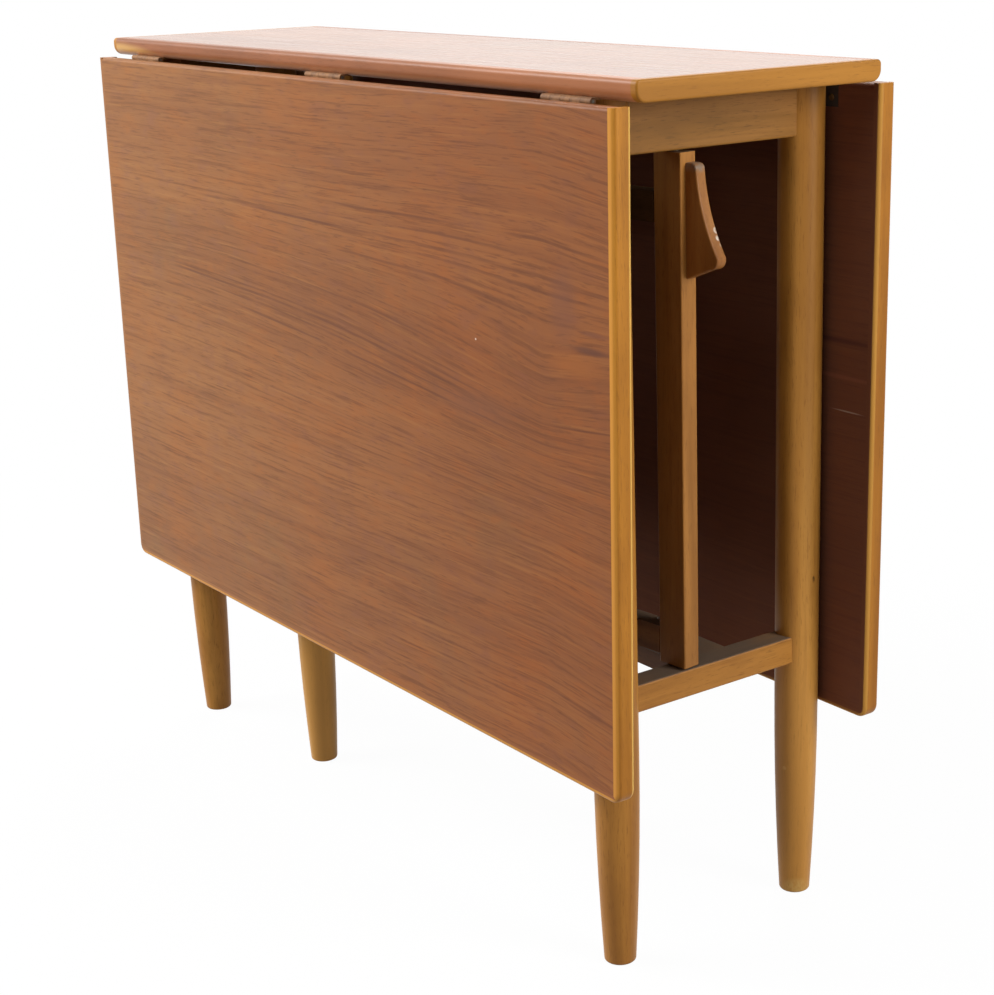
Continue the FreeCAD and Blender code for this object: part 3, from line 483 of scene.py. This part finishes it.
def make_solid_wood(name, palette, axis, seed, roughness=0.44, specular=0.22, dust=0.0, marks=(),
                    hidden=0.0, sides=0.0, skin=None):
    """Solid wood from a palette of light, mid and dark tones and a pore colour.
    Dust lies on upward faces. Sides darkens the faces that look along Y with painted shade, as on the gate
    stiles.
    Hidden is the way a leaf's unseen face looks along Y, and skin is the height where veneer starts."""
    material, tree, shader, coordinates = new_finish(name, roughness, specular)
    place = coordinates["Object"]
    light, mid, dark, pore = (ink(code) for code in palette)
    sway = cloud(tree, place, along(axis, 2.0, 9.0), seed=seed)
    bend = add(tree, "VectorMath", {0: sway, 1: (SOLID_SWAY,) * 3, 2: place}, operation="MULTIPLY_ADD")
    bent = bend.outputs[0]
    bands = cloud(tree, bent, along(axis, 1.6, 34.0), 3.0, 0.55, seed + 5)
    colour = lay(tree, dark, bands, 0.34, 0.52, 1.0, mid)
    colour = lay(tree, colour, bands, 0.50, 0.68, 1.0, light)
    patches = cloud(tree, place, along(axis, 9.0, 26.0), 3.0, 0.6, seed + 9)
    colour = lay(tree, colour, patches, 0.50, 0.72, 0.55, dark)
    streak = cloud(tree, bent, along(axis, 6.0, 190.0), 3.0, 0.6, seed + 13)
    colour = lay(tree, colour, streak, 0.50, 0.74, 0.45, dark)
    pores = cloud(tree, bent, along(axis, 85.0, 900.0), 2.0, 0.6, seed + 19)
    colour = lay(tree, colour, pores, 0.54, 0.74, 0.50, pore)
    if dust:
        colour = settle_dust(tree, colour, coordinates, patches, dust)
    if sides:
        facing = split(tree, coordinates["Normal"])["Y"]
        # Painted shade on the faces that look along Y.
        colour = lay(tree, colour, calc(tree, "ABSOLUTE", facing), 0.8, 0.98, sides, SIDE_SHADE)
    if hidden:
        colour = face_lipping(tree, shader, colour, coordinates, streak, hidden, skin)
    if marks:
        grit = cloud(tree, place, along(axis, 180.0, 520.0), 2.0, 0.6, seed + 27)
        crumbs = fade(tree, grit, 0.38, 0.58, 0.35, 1.0)
        colour = paint_marks(tree, colour, place, marks, SOLID_MARK_SOFT, crumbs)
    close_wood(tree, shader, colour, pores)
    return material


print("solid-wood recipe ready")

# %% [markdown]
# ## Teak strips and levers
# A rounded strip of solid teak guards each long edge of the top. The front one has painted light along its
# lower edge, where it curves under into shade, and at its right end, and its left end shows a sliver of
# honey-coloured wood. The lever on each gate is handled most of all: the front one is chipped to the pale
# wood and rubbed grey at its head.

# %% Teak strips and levers
SIDES, ENDS = ("front", "rear"), ("right", "left")
TEAK_SOLID = ("AE7048", "A0623A", "8A522E", "744626")
strip_marks = [
    ((-0.439, -0.121, 0.7225), (0.115, 0.040, 0.0160), "D8A862", 1.0),
    # Painted light along the lower edge, where the strip curves under into shade.
    ((0.0, -0.1300, 0.7222), (1.2, 0.050, 0.0080), "DCA078", 0.75),
    # Painted light at the right end.
    ((0.42, -0.1300, 0.7350), (0.30, 0.050, 0.0300), "C88050", 0.35),
]
strip_teak = make_solid_wood("teak_strip", TEAK_SOLID, "X", 3.0, roughness=0.40, specular=0.28,
                             marks=strip_marks)
dress(strip_teak, [f"top_edge_strip_{side}" for side in SIDES])

LEVER_TEAK = ("A87038", "925C28", "78481C", "5C3414")
lever_chips = [
    ((0.4040, -0.0155, 0.6180), (0.0025, 0.0030, 0.0035), "D8CDBE", 0.9),
    ((0.4062, -0.0155, 0.6118), (0.0025, 0.0030, 0.0032), "E3DACD", 0.9),
    ((0.3985, -0.0150, 0.6255), (0.0020, 0.0022, 0.0022), "C9BBA8", 0.8),
    ((0.4012, -0.0150, 0.6218), (0.0018, 0.0020, 0.0018), "C9BBA8", 0.8),
    ((0.4085, -0.0150, 0.6060), (0.0020, 0.0022, 0.0030), "C0AE98", 0.7),
    ((0.3860, -0.0205, 0.6680), (0.0160, 0.0120, 0.0085), "85796A", 0.8),
]
lever_front = make_solid_wood("teak_lever_front", LEVER_TEAK, "Z", 5.0, roughness=0.42, specular=0.25,
                              marks=lever_chips)
dress(lever_front, ["gate_front_lever"])
lever_rear = make_solid_wood("teak_lever_rear", LEVER_TEAK, "Z", 8.0, roughness=0.42, specular=0.25)
dress(lever_rear, ["gate_rear_lever"])

# %% [markdown]
# ## Honey-coloured lippings
# A lipping is a narrow strip glued round a veneered board so that its raw edge can't chip. Here it is pale
# honey wood. On the right ends it shows on the outer face too; on the left ends and along the bottom the
# veneer was laid over it, and only the edge itself shows. Four small bruises sit low on the rear leaf.

# %% Honey-coloured lippings
HONEY = ("CA8E3C", "BA7E2E", "A46C22", "8C5A1C")
END_HONEY = ("C28028", "B07222", "985E1A", "7E4E16")
SKIN_RISE = 0.0042
lipping_along_y = make_solid_wood("lipping_top_end", HONEY, "Y", 12.0)
dress(lipping_along_y, [f"top_end_lipping_{end}" for end in ENDS])
edge_bruises = [((0.434, 0.1389, level), (0.003, 0.0016, 0.0025), "E6D6BC", 0.85)
                for level in (0.2374, 0.2270, 0.2116, 0.2039)]
for side, hidden in (("front", 1.0), ("rear", -1.0)):
    right = make_solid_wood(f"lipping_right_{side}", END_HONEY, "Z", 15.0 + hidden, marks=edge_bruises,
                            hidden=hidden)
    dress(right, [f"leaf_{side}_lipping_right"])
    left = make_solid_wood(f"lipping_left_{side}", END_HONEY, "Z", 15.0 + hidden, hidden=hidden, skin=0.0)
    dress(left, [f"leaf_{side}_lipping_left"])
    edge_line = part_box(f"leaf_{side}_lipping_bottom")[0].z + SKIN_RISE
    lowest = make_solid_wood(f"lipping_bottom_{side}", HONEY, "X", 18.0 + hidden, hidden=hidden,
                             skin=edge_line)
    dress(lowest, [f"leaf_{side}_lipping_bottom"])

# %% [markdown]
# ## Turned beech legs
# The legs are beech, stained golden and turned on a lathe, so their grain runs upright. The rear right one
# carries a dark knot, two nicks and a worn foot, painted shade down its side towards the rear leaf, and
# painted light on its lower part. The front gate's leg has painted light low down, where the leaf shades it.
# All six share one finish, because each mark only reaches its own leg.

# %% Beech legs
BEECH = ("C88E40", "B47A32", "9A6425", "7E4D1C")
leg_marks = [
    ((0.3902, 0.1066, 0.3021), (0.0050, 0.0020, 0.0040), "1E1208", 0.95),
    ((0.3757, 0.0868, 0.1251), (0.0030, 0.0030, 0.0025), "C59A58", 0.80),
    ((0.3898, 0.1015, 0.0601), (0.0030, 0.0022, 0.0025), "4A2E12", 0.85),
    ((0.3850, 0.0950, 0.0020), (0.0200, 0.0200, 0.0160), "C8A865", 0.75),
    # Painted shade down the rear right leg's side that faces the rear leaf.
    ((0.3870, 0.1120, 0.5200), (0.0240, 0.0240, 0.4200), "5E380E", 0.46),
    # Painted light on the lower part of the rear right leg.
    ((0.3710, 0.1050, 0.1100), (0.0600, 0.0600, 0.2000), "CE9448", 0.40),
    # Painted light low on the front gate's leg, which stands in the leaf's shade.
    ((-0.1670, -0.0700, 0.0900), (0.0600, 0.0600, 0.2200), "DCA658", 0.45),
]
leg_wood = make_solid_wood("beech_legs", BEECH, "Z", 24.0, roughness=0.42, marks=leg_marks)
dress(leg_wood, [f"leg_{side}_{end}" for side in SIDES for end in ENDS]
      + [f"gate_{side}_leg" for side in SIDES])

# %% [markdown]
# ## Beech rails, aprons and stretchers
# The rest of the frame is beech too, each piece in its own tones and with its grain along its length. Dust
# lies on the stiles, the low rails and the stretchers, and the stiles are darker on their sides along Y as
# painted shade. The aprons get darker tones as painted shade under the top's overhang, and the upper rails
# under the top are painted dark brown as painted shade there. The dowels inside are plain beech.

# %% Beech rails, aprons and stretchers
STILE_TONES = ("BA8040", "AA7234", "8E5C26", "70471A")
# Painted shade: darker beech for the aprons, which lie in the shade of the top's overhang.
SHADED_APRON_TONES = ("AA7436", "8E6026", "744E1E", "5A3C18")
STRETCHER_TONES = ("B87F38", "A8702E", "8C5A22", "6E4518")
RAIL_TONES = ("A2703A", "8C5C2A", "70461E", "5A3818")
# Painted shade: near-black beech for the upper rails, deep in the shade under the top.
SHADED_RAIL_TONES = ("4E331A", "422A14", "36220F", "2C1B0C")
# The stiles get painted shade on their faces along Y, which sit deep between the leaves.
stile_wood = make_solid_wood("beech_stiles", STILE_TONES, "Z", 33.0, dust=0.8, sides=0.30)
dress(stile_wood, [f"gate_{side}_stile" for side in SIDES])
apron_wood = make_solid_wood("beech_aprons", SHADED_APRON_TONES, "Y", 41.0)
dress(apron_wood, [f"end_apron_{end}" for end in ENDS])
stretcher_wood = make_solid_wood("beech_stretchers", STRETCHER_TONES, "Y", 47.0, dust=0.9)
dress(stretcher_wood, [f"end_stretcher_{end}" for end in ENDS])
rail_wood = make_solid_wood("beech_rails", RAIL_TONES, "X", 53.0, dust=0.9)
dress(rail_wood, ["long_stretcher"] + [f"gate_{side}_lower_rail" for side in SIDES])
upper_rail_wood = make_solid_wood("beech_upper_rails", SHADED_RAIL_TONES, "X", 57.0, roughness=0.8, specular=0.05)
dress(upper_rail_wood, [f"gate_{side}_upper_rail" for side in SIDES])
dowel_wood = make_solid_wood("beech_dowels", BEECH, "X", 61.0)
dress(dowel_wood, ["stretcher_dowels"])

# %% [markdown]
# ## Metal
# The hinges are old brass, gone dull and brown with handling; on the rear leaf their plates lie in shade and
# are painted nearly black as painted shade. The screws and all the pins are steel; the pins are painted a
# dark grey as painted shade in the gaps where they sit. Metal needs little colour of its own: a mid
# roughness and a blotchy tarnish make it look used.

# %% Brass and steel
METAL_SPECULAR = 0.5


def make_metal(name, bright, dull, roughness, metallic, seed):
    """Metal with blotches of tarnish and fine bright scratches along X."""
    material, tree, shader, coordinates = new_finish(name, roughness, METAL_SPECULAR)
    shader.inputs["Metallic"].default_value = metallic
    place = coordinates["Object"]
    tarnish = cloud(tree, place, (160.0,) * 3, 4.0, 0.6, seed)
    scratch = cloud(tree, place, (90.0, 900.0, 900.0), 2.0, 0.6, seed + 4)
    colour = lay(tree, ink(bright), tarnish, 0.38, 0.64, 1.0, ink(dull))
    colour = lay(tree, colour, scratch, 0.55, 0.75, 0.4, ink(bright))
    feed(tree, shader.inputs["Base Color"], colour)
    return material


brass = make_metal("old_brass", "966A42", "785436", roughness=0.70, metallic=0.15, seed=2.0)
# Painted shade: near-black brass for the rear leaf's plates, which lie in the dark.
shaded_brass = make_metal("shaded_brass", "3A2A1C", "2C2016", roughness=0.80, metallic=0.15, seed=2.0)
plates = sorted(name for name in nodes if name.startswith("hinge_") and name.endswith("_plate"))
shaded = [name for name in plates if name.startswith("hinge_rear") and name.endswith("leaf_plate")]
dress(brass, [name for name in plates if name not in shaded])
dress(shaded_brass, shaded)
# Painted shade: the pins are a dark steel, as they sit in shadowed gaps such as between stile and apron.
steel = make_metal("pin_steel", "7C7468", "5A5248", roughness=0.55, metallic=0.6, seed=6.0)
dress(steel, [f"hinge_pins_{side}" for side in SIDES]
      + [f"gate_{side}_pivot_pins" for side in SIDES])
screw_metal = make_metal("screw_steel", "C9C6C0", "948F86", roughness=0.28, metallic=1.0, seed=9.0)
dress(screw_metal, sorted(name for name in nodes if "screws" in name))

# %% [markdown]
# ## The rail screw
# A bright round-headed screw holds the lower rail of each gate, close to the stile. It is only a few
# millimetres across, so it is modelled here: a low cylinder, its top edge rounded over with a bevel,
# and a slot pressed into its crown by bisecting the crown and pushing the strip down.

# %% Make the rail screws
SCREW_RADIUS, SCREW_RISE, SCREW_SIDES = 0.0036, 0.0026, 32
ROUNDING, ROUNDING_STEPS, ROUNDED_FROM = 0.0017, 4, math.radians(40)
SMOOTH_BELOW = math.radians(35)
SLOT_HALF, SLOT_DEPTH = 0.0005, 0.0009
SCREW_X, SCREW_FRONT_Y, SCREW_REAR_Y = 0.3427, -0.0243, 0.0343
CROWN_SHARE, CROWN_LOOKS_UP = 0.6, 0.3


def deselect_all():
    """Lets go of everything, so that the next operator works on the new piece alone."""
    for thing in bpy.context.selected_objects:
        thing.select_set(False)


def cut_slot(head, seat):
    """Presses a slot into the crown of a screw head that stands at seat."""
    bpy.ops.object.mode_set(mode="EDIT")
    for offset in (-SLOT_HALF, SLOT_HALF):
        bpy.ops.mesh.select_all(action="SELECT")
        bpy.ops.mesh.bisect(plane_co=seat + Vector((0, offset, 0)), plane_no=(0, 1, 0))
    bpy.ops.object.mode_set(mode="OBJECT")
    crown = seat.z + SCREW_RISE * CROWN_SHARE
    for face in head.data.polygons:
        in_slot = abs(face.center.y - seat.y) < SLOT_HALF
        face.select = in_slot and face.normal.z > CROWN_LOOKS_UP and face.center.z > crown
    bpy.ops.object.mode_set(mode="EDIT")
    bpy.ops.mesh.select_mode(type="FACE")
    bpy.ops.mesh.extrude_region_move(TRANSFORM_OT_translate={"value": (0, 0, -SLOT_DEPTH)})
    bpy.ops.mesh.select_all(action="SELECT")
    bpy.ops.mesh.normals_make_consistent(inside=False)
    bpy.ops.object.mode_set(mode="OBJECT")


def make_round_screw(name, seat, body):
    """A slotted round head that stands on a face at seat and moves with one body of the table."""
    deselect_all()
    bpy.ops.mesh.primitive_cylinder_add(vertices=SCREW_SIDES, radius=SCREW_RADIUS, depth=SCREW_RISE,
                                        location=seat + Vector((0, 0, SCREW_RISE / 2)))
    head = bpy.context.object
    head.name = name
    bpy.ops.object.transform_apply(location=True, rotation=True, scale=True)
    rounding = head.modifiers.new("rounding", "BEVEL")
    rounding.width, rounding.segments, rounding.angle_limit = ROUNDING, ROUNDING_STEPS, ROUNDED_FROM
    bpy.ops.object.modifier_apply(modifier="rounding")
    cut_slot(head, seat)
    bpy.ops.object.shade_smooth_by_angle(angle=SMOOTH_BELOW)
    head.data.materials.append(screw_metal)
    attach(head, body)
    print(name, "made with", len(head.data.polygons), "faces")


rail_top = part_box("gate_front_lower_rail")[1].z
make_round_screw("rail_screw_front", Vector((SCREW_X, SCREW_FRONT_Y, rail_top)), "gate_front")
make_round_screw("rail_screw_rear", Vector((-SCREW_X, SCREW_REAR_Y, rail_top)), "gate_rear")

# %% [markdown]
# ## Floor
# The photograph is a cut-out on white. The floor is white where it is seen, straight or mirrored, and keeps
# only a breath of the table's shadow close by. To light that bounces it is a mid grey, so that the space
# between the leaves stays as dark as it really is; a plain white floor would throw light up between them.

# %% Floor
WHITE_SHARE, FLOOR_SEEN, FLOOR_BOUNCE, FLOOR_SIZE = 0.97, 0.9, 0.42, 80.0
SHADOW_NEAR, SHADOW_FAR = 0.6, 1.5
deselect_all()
bpy.ops.mesh.primitive_plane_add(size=FLOOR_SIZE, location=(0, 0, 0))
floor = bpy.context.object
floor.name = "studio_floor"
floor_material = bpy.data.materials.new("studio_white")
floor_material.use_nodes = True
floor_tree = floor_material.node_tree
floor_tree.nodes.clear()


def looked_at(tree):
    """1 for rays that show the background: straight to the camera, or by way of gloss or glass."""
    path = tree.nodes.new("ShaderNodeLightPath").outputs
    straight = calc(tree, "MAXIMUM", path["Is Camera Ray"], path["Is Glossy Ray"])
    return calc(tree, "MAXIMUM", straight, path["Is Transmission Ray"])


seen = looked_at(floor_tree)
tone = blend(floor_tree, seen, grey(FLOOR_BOUNCE), grey(FLOOR_SEEN))
matt = add(floor_tree, "BsdfDiffuse", {"Color": tone})
glow = add(floor_tree, "Emission", {"Color": grey(1.0), "Strength": 1.0})
floor_place = floor_tree.nodes.new("ShaderNodeTexCoord").outputs["Object"]
from_middle = add(floor_tree, "VectorMath", {0: floor_place}, operation="LENGTH").outputs["Value"]
share = times(floor_tree, seen, fade(floor_tree, from_middle, SHADOW_NEAR, SHADOW_FAR, WHITE_SHARE, 1.0))
floor_mix = add(floor_tree, "MixShader", {0: share, 1: matt.outputs[0], 2: glow.outputs[0]})
floor_out = floor_tree.nodes.new("ShaderNodeOutputMaterial")
floor_tree.links.new(floor_mix.outputs[0], floor_out.inputs["Surface"])
floor.data.materials.append(floor_material)
print("floor laid,", FLOOR_SIZE, "m square")

# %% [markdown]
# ## Sky
# A bright sky is the quickest light there is, but it fills every dark corner of the table. So the sky is
# white only where it is seen, straight or mirrored, and gives the table hardly any light.

# %% World
AMBIENT = 0.08
world = bpy.data.worlds.new("studio")
bpy.context.scene.world = world
world.use_nodes = True
world_tree = world.node_tree
world_tone = blend(world_tree, looked_at(world_tree), grey(AMBIENT), grey(1.0))
feed(world_tree, world_tree.nodes["Background"].inputs["Color"], world_tone)
print("sky lights the table with", AMBIENT, "of white")

# %% [markdown]
# ## Lamps
# Large soft lamps model wood well: they leave gentle shades and no hard spots. A big window at the left
# lights the front leaf from its left end, a weak high one in front lifts the rest, and a lamp at the right
# shines into the open end. Behind the table a low card is mirrored in the top as its pale sheen, and a high
# fill lights the top from behind.

# %% Lamps
TABLE_MIDDLE, TABLE_TOP = (0.0, 0.0, 0.45), (0.0, 0.0, 0.74)


def hang_lamp(name, place, aim, width, height, level):
    """A soft rectangular lamp. The level is how bright its face is, where 1 is white."""
    lamp = bpy.data.lights.new(name, "AREA")
    lamp.shape, lamp.size, lamp.size_y = "RECTANGLE", width, height
    lamp.energy = level * math.pi * width * height
    holder = bpy.data.objects.new(name, lamp)
    bpy.context.scene.collection.objects.link(holder)
    holder.location = place
    holder.rotation_euler = (Vector(aim) - Vector(place)).to_track_quat("-Z", "Y").to_euler()
    holder.visible_camera = False
    print(name, round(lamp.energy, 1), "watts")


hang_lamp("window_left", (-2.3, -2.6, 2.6), TABLE_MIDDLE, width=2.6, height=2.0, level=11.6)
hang_lamp("high_window", (1.03, -1.78, 2.9), TABLE_MIDDLE, width=1.6, height=1.6, level=1.8)
hang_lamp("end_light", (2.5, 0.8, 1.5), TABLE_MIDDLE, width=1.0, height=1.4, level=12.5)
hang_lamp("card_behind", (-2.2, 1.8, 1.25), TABLE_TOP, width=3.2, height=1.0, level=0.46)
hang_lamp("fill_behind", (-1.9, 2.0, 3.2), TABLE_MIDDLE, width=2.0, height=2.0, level=5.0)

# %% [markdown]
# ## Camera
# The camera stands to the right of the front leaf, a little above the top, and looks down along the
# open end. Its place, turn and lens were found by matching corners of the table.

# %% Camera
PICTURE_SIDE, SENSOR_SIDE = 995, 36.0
FOCAL_PIXELS, SHIFT_PIXELS = 1957.2, (106.9, 51.5)
HEADING, TILT, ROLL = math.radians(52.623), math.radians(90 - 17.948), math.radians(-1.282)
CAMERA_PLACE = (1.55053, -1.00661, 0.85156)
camera_data = bpy.data.cameras.new("view")
camera = bpy.data.objects.new("view", camera_data)
bpy.context.scene.collection.objects.link(camera)
camera_data.sensor_width = SENSOR_SIDE
camera_data.lens = FOCAL_PIXELS * SENSOR_SIDE / PICTURE_SIDE
camera_data.shift_x = -SHIFT_PIXELS[0] / PICTURE_SIDE
camera_data.shift_y = SHIFT_PIXELS[1] / PICTURE_SIDE
turn = Matrix.Rotation(HEADING, 4, "Z") @ Matrix.Rotation(TILT, 4, "X") @ Matrix.Rotation(ROLL, 4, "Z")
camera.matrix_world = Matrix.Translation(CAMERA_PLACE) @ turn
bpy.context.scene.camera = camera
bpy.context.scene.view_settings.view_transform = "Standard"
print("camera lens", round(camera_data.lens, 2))
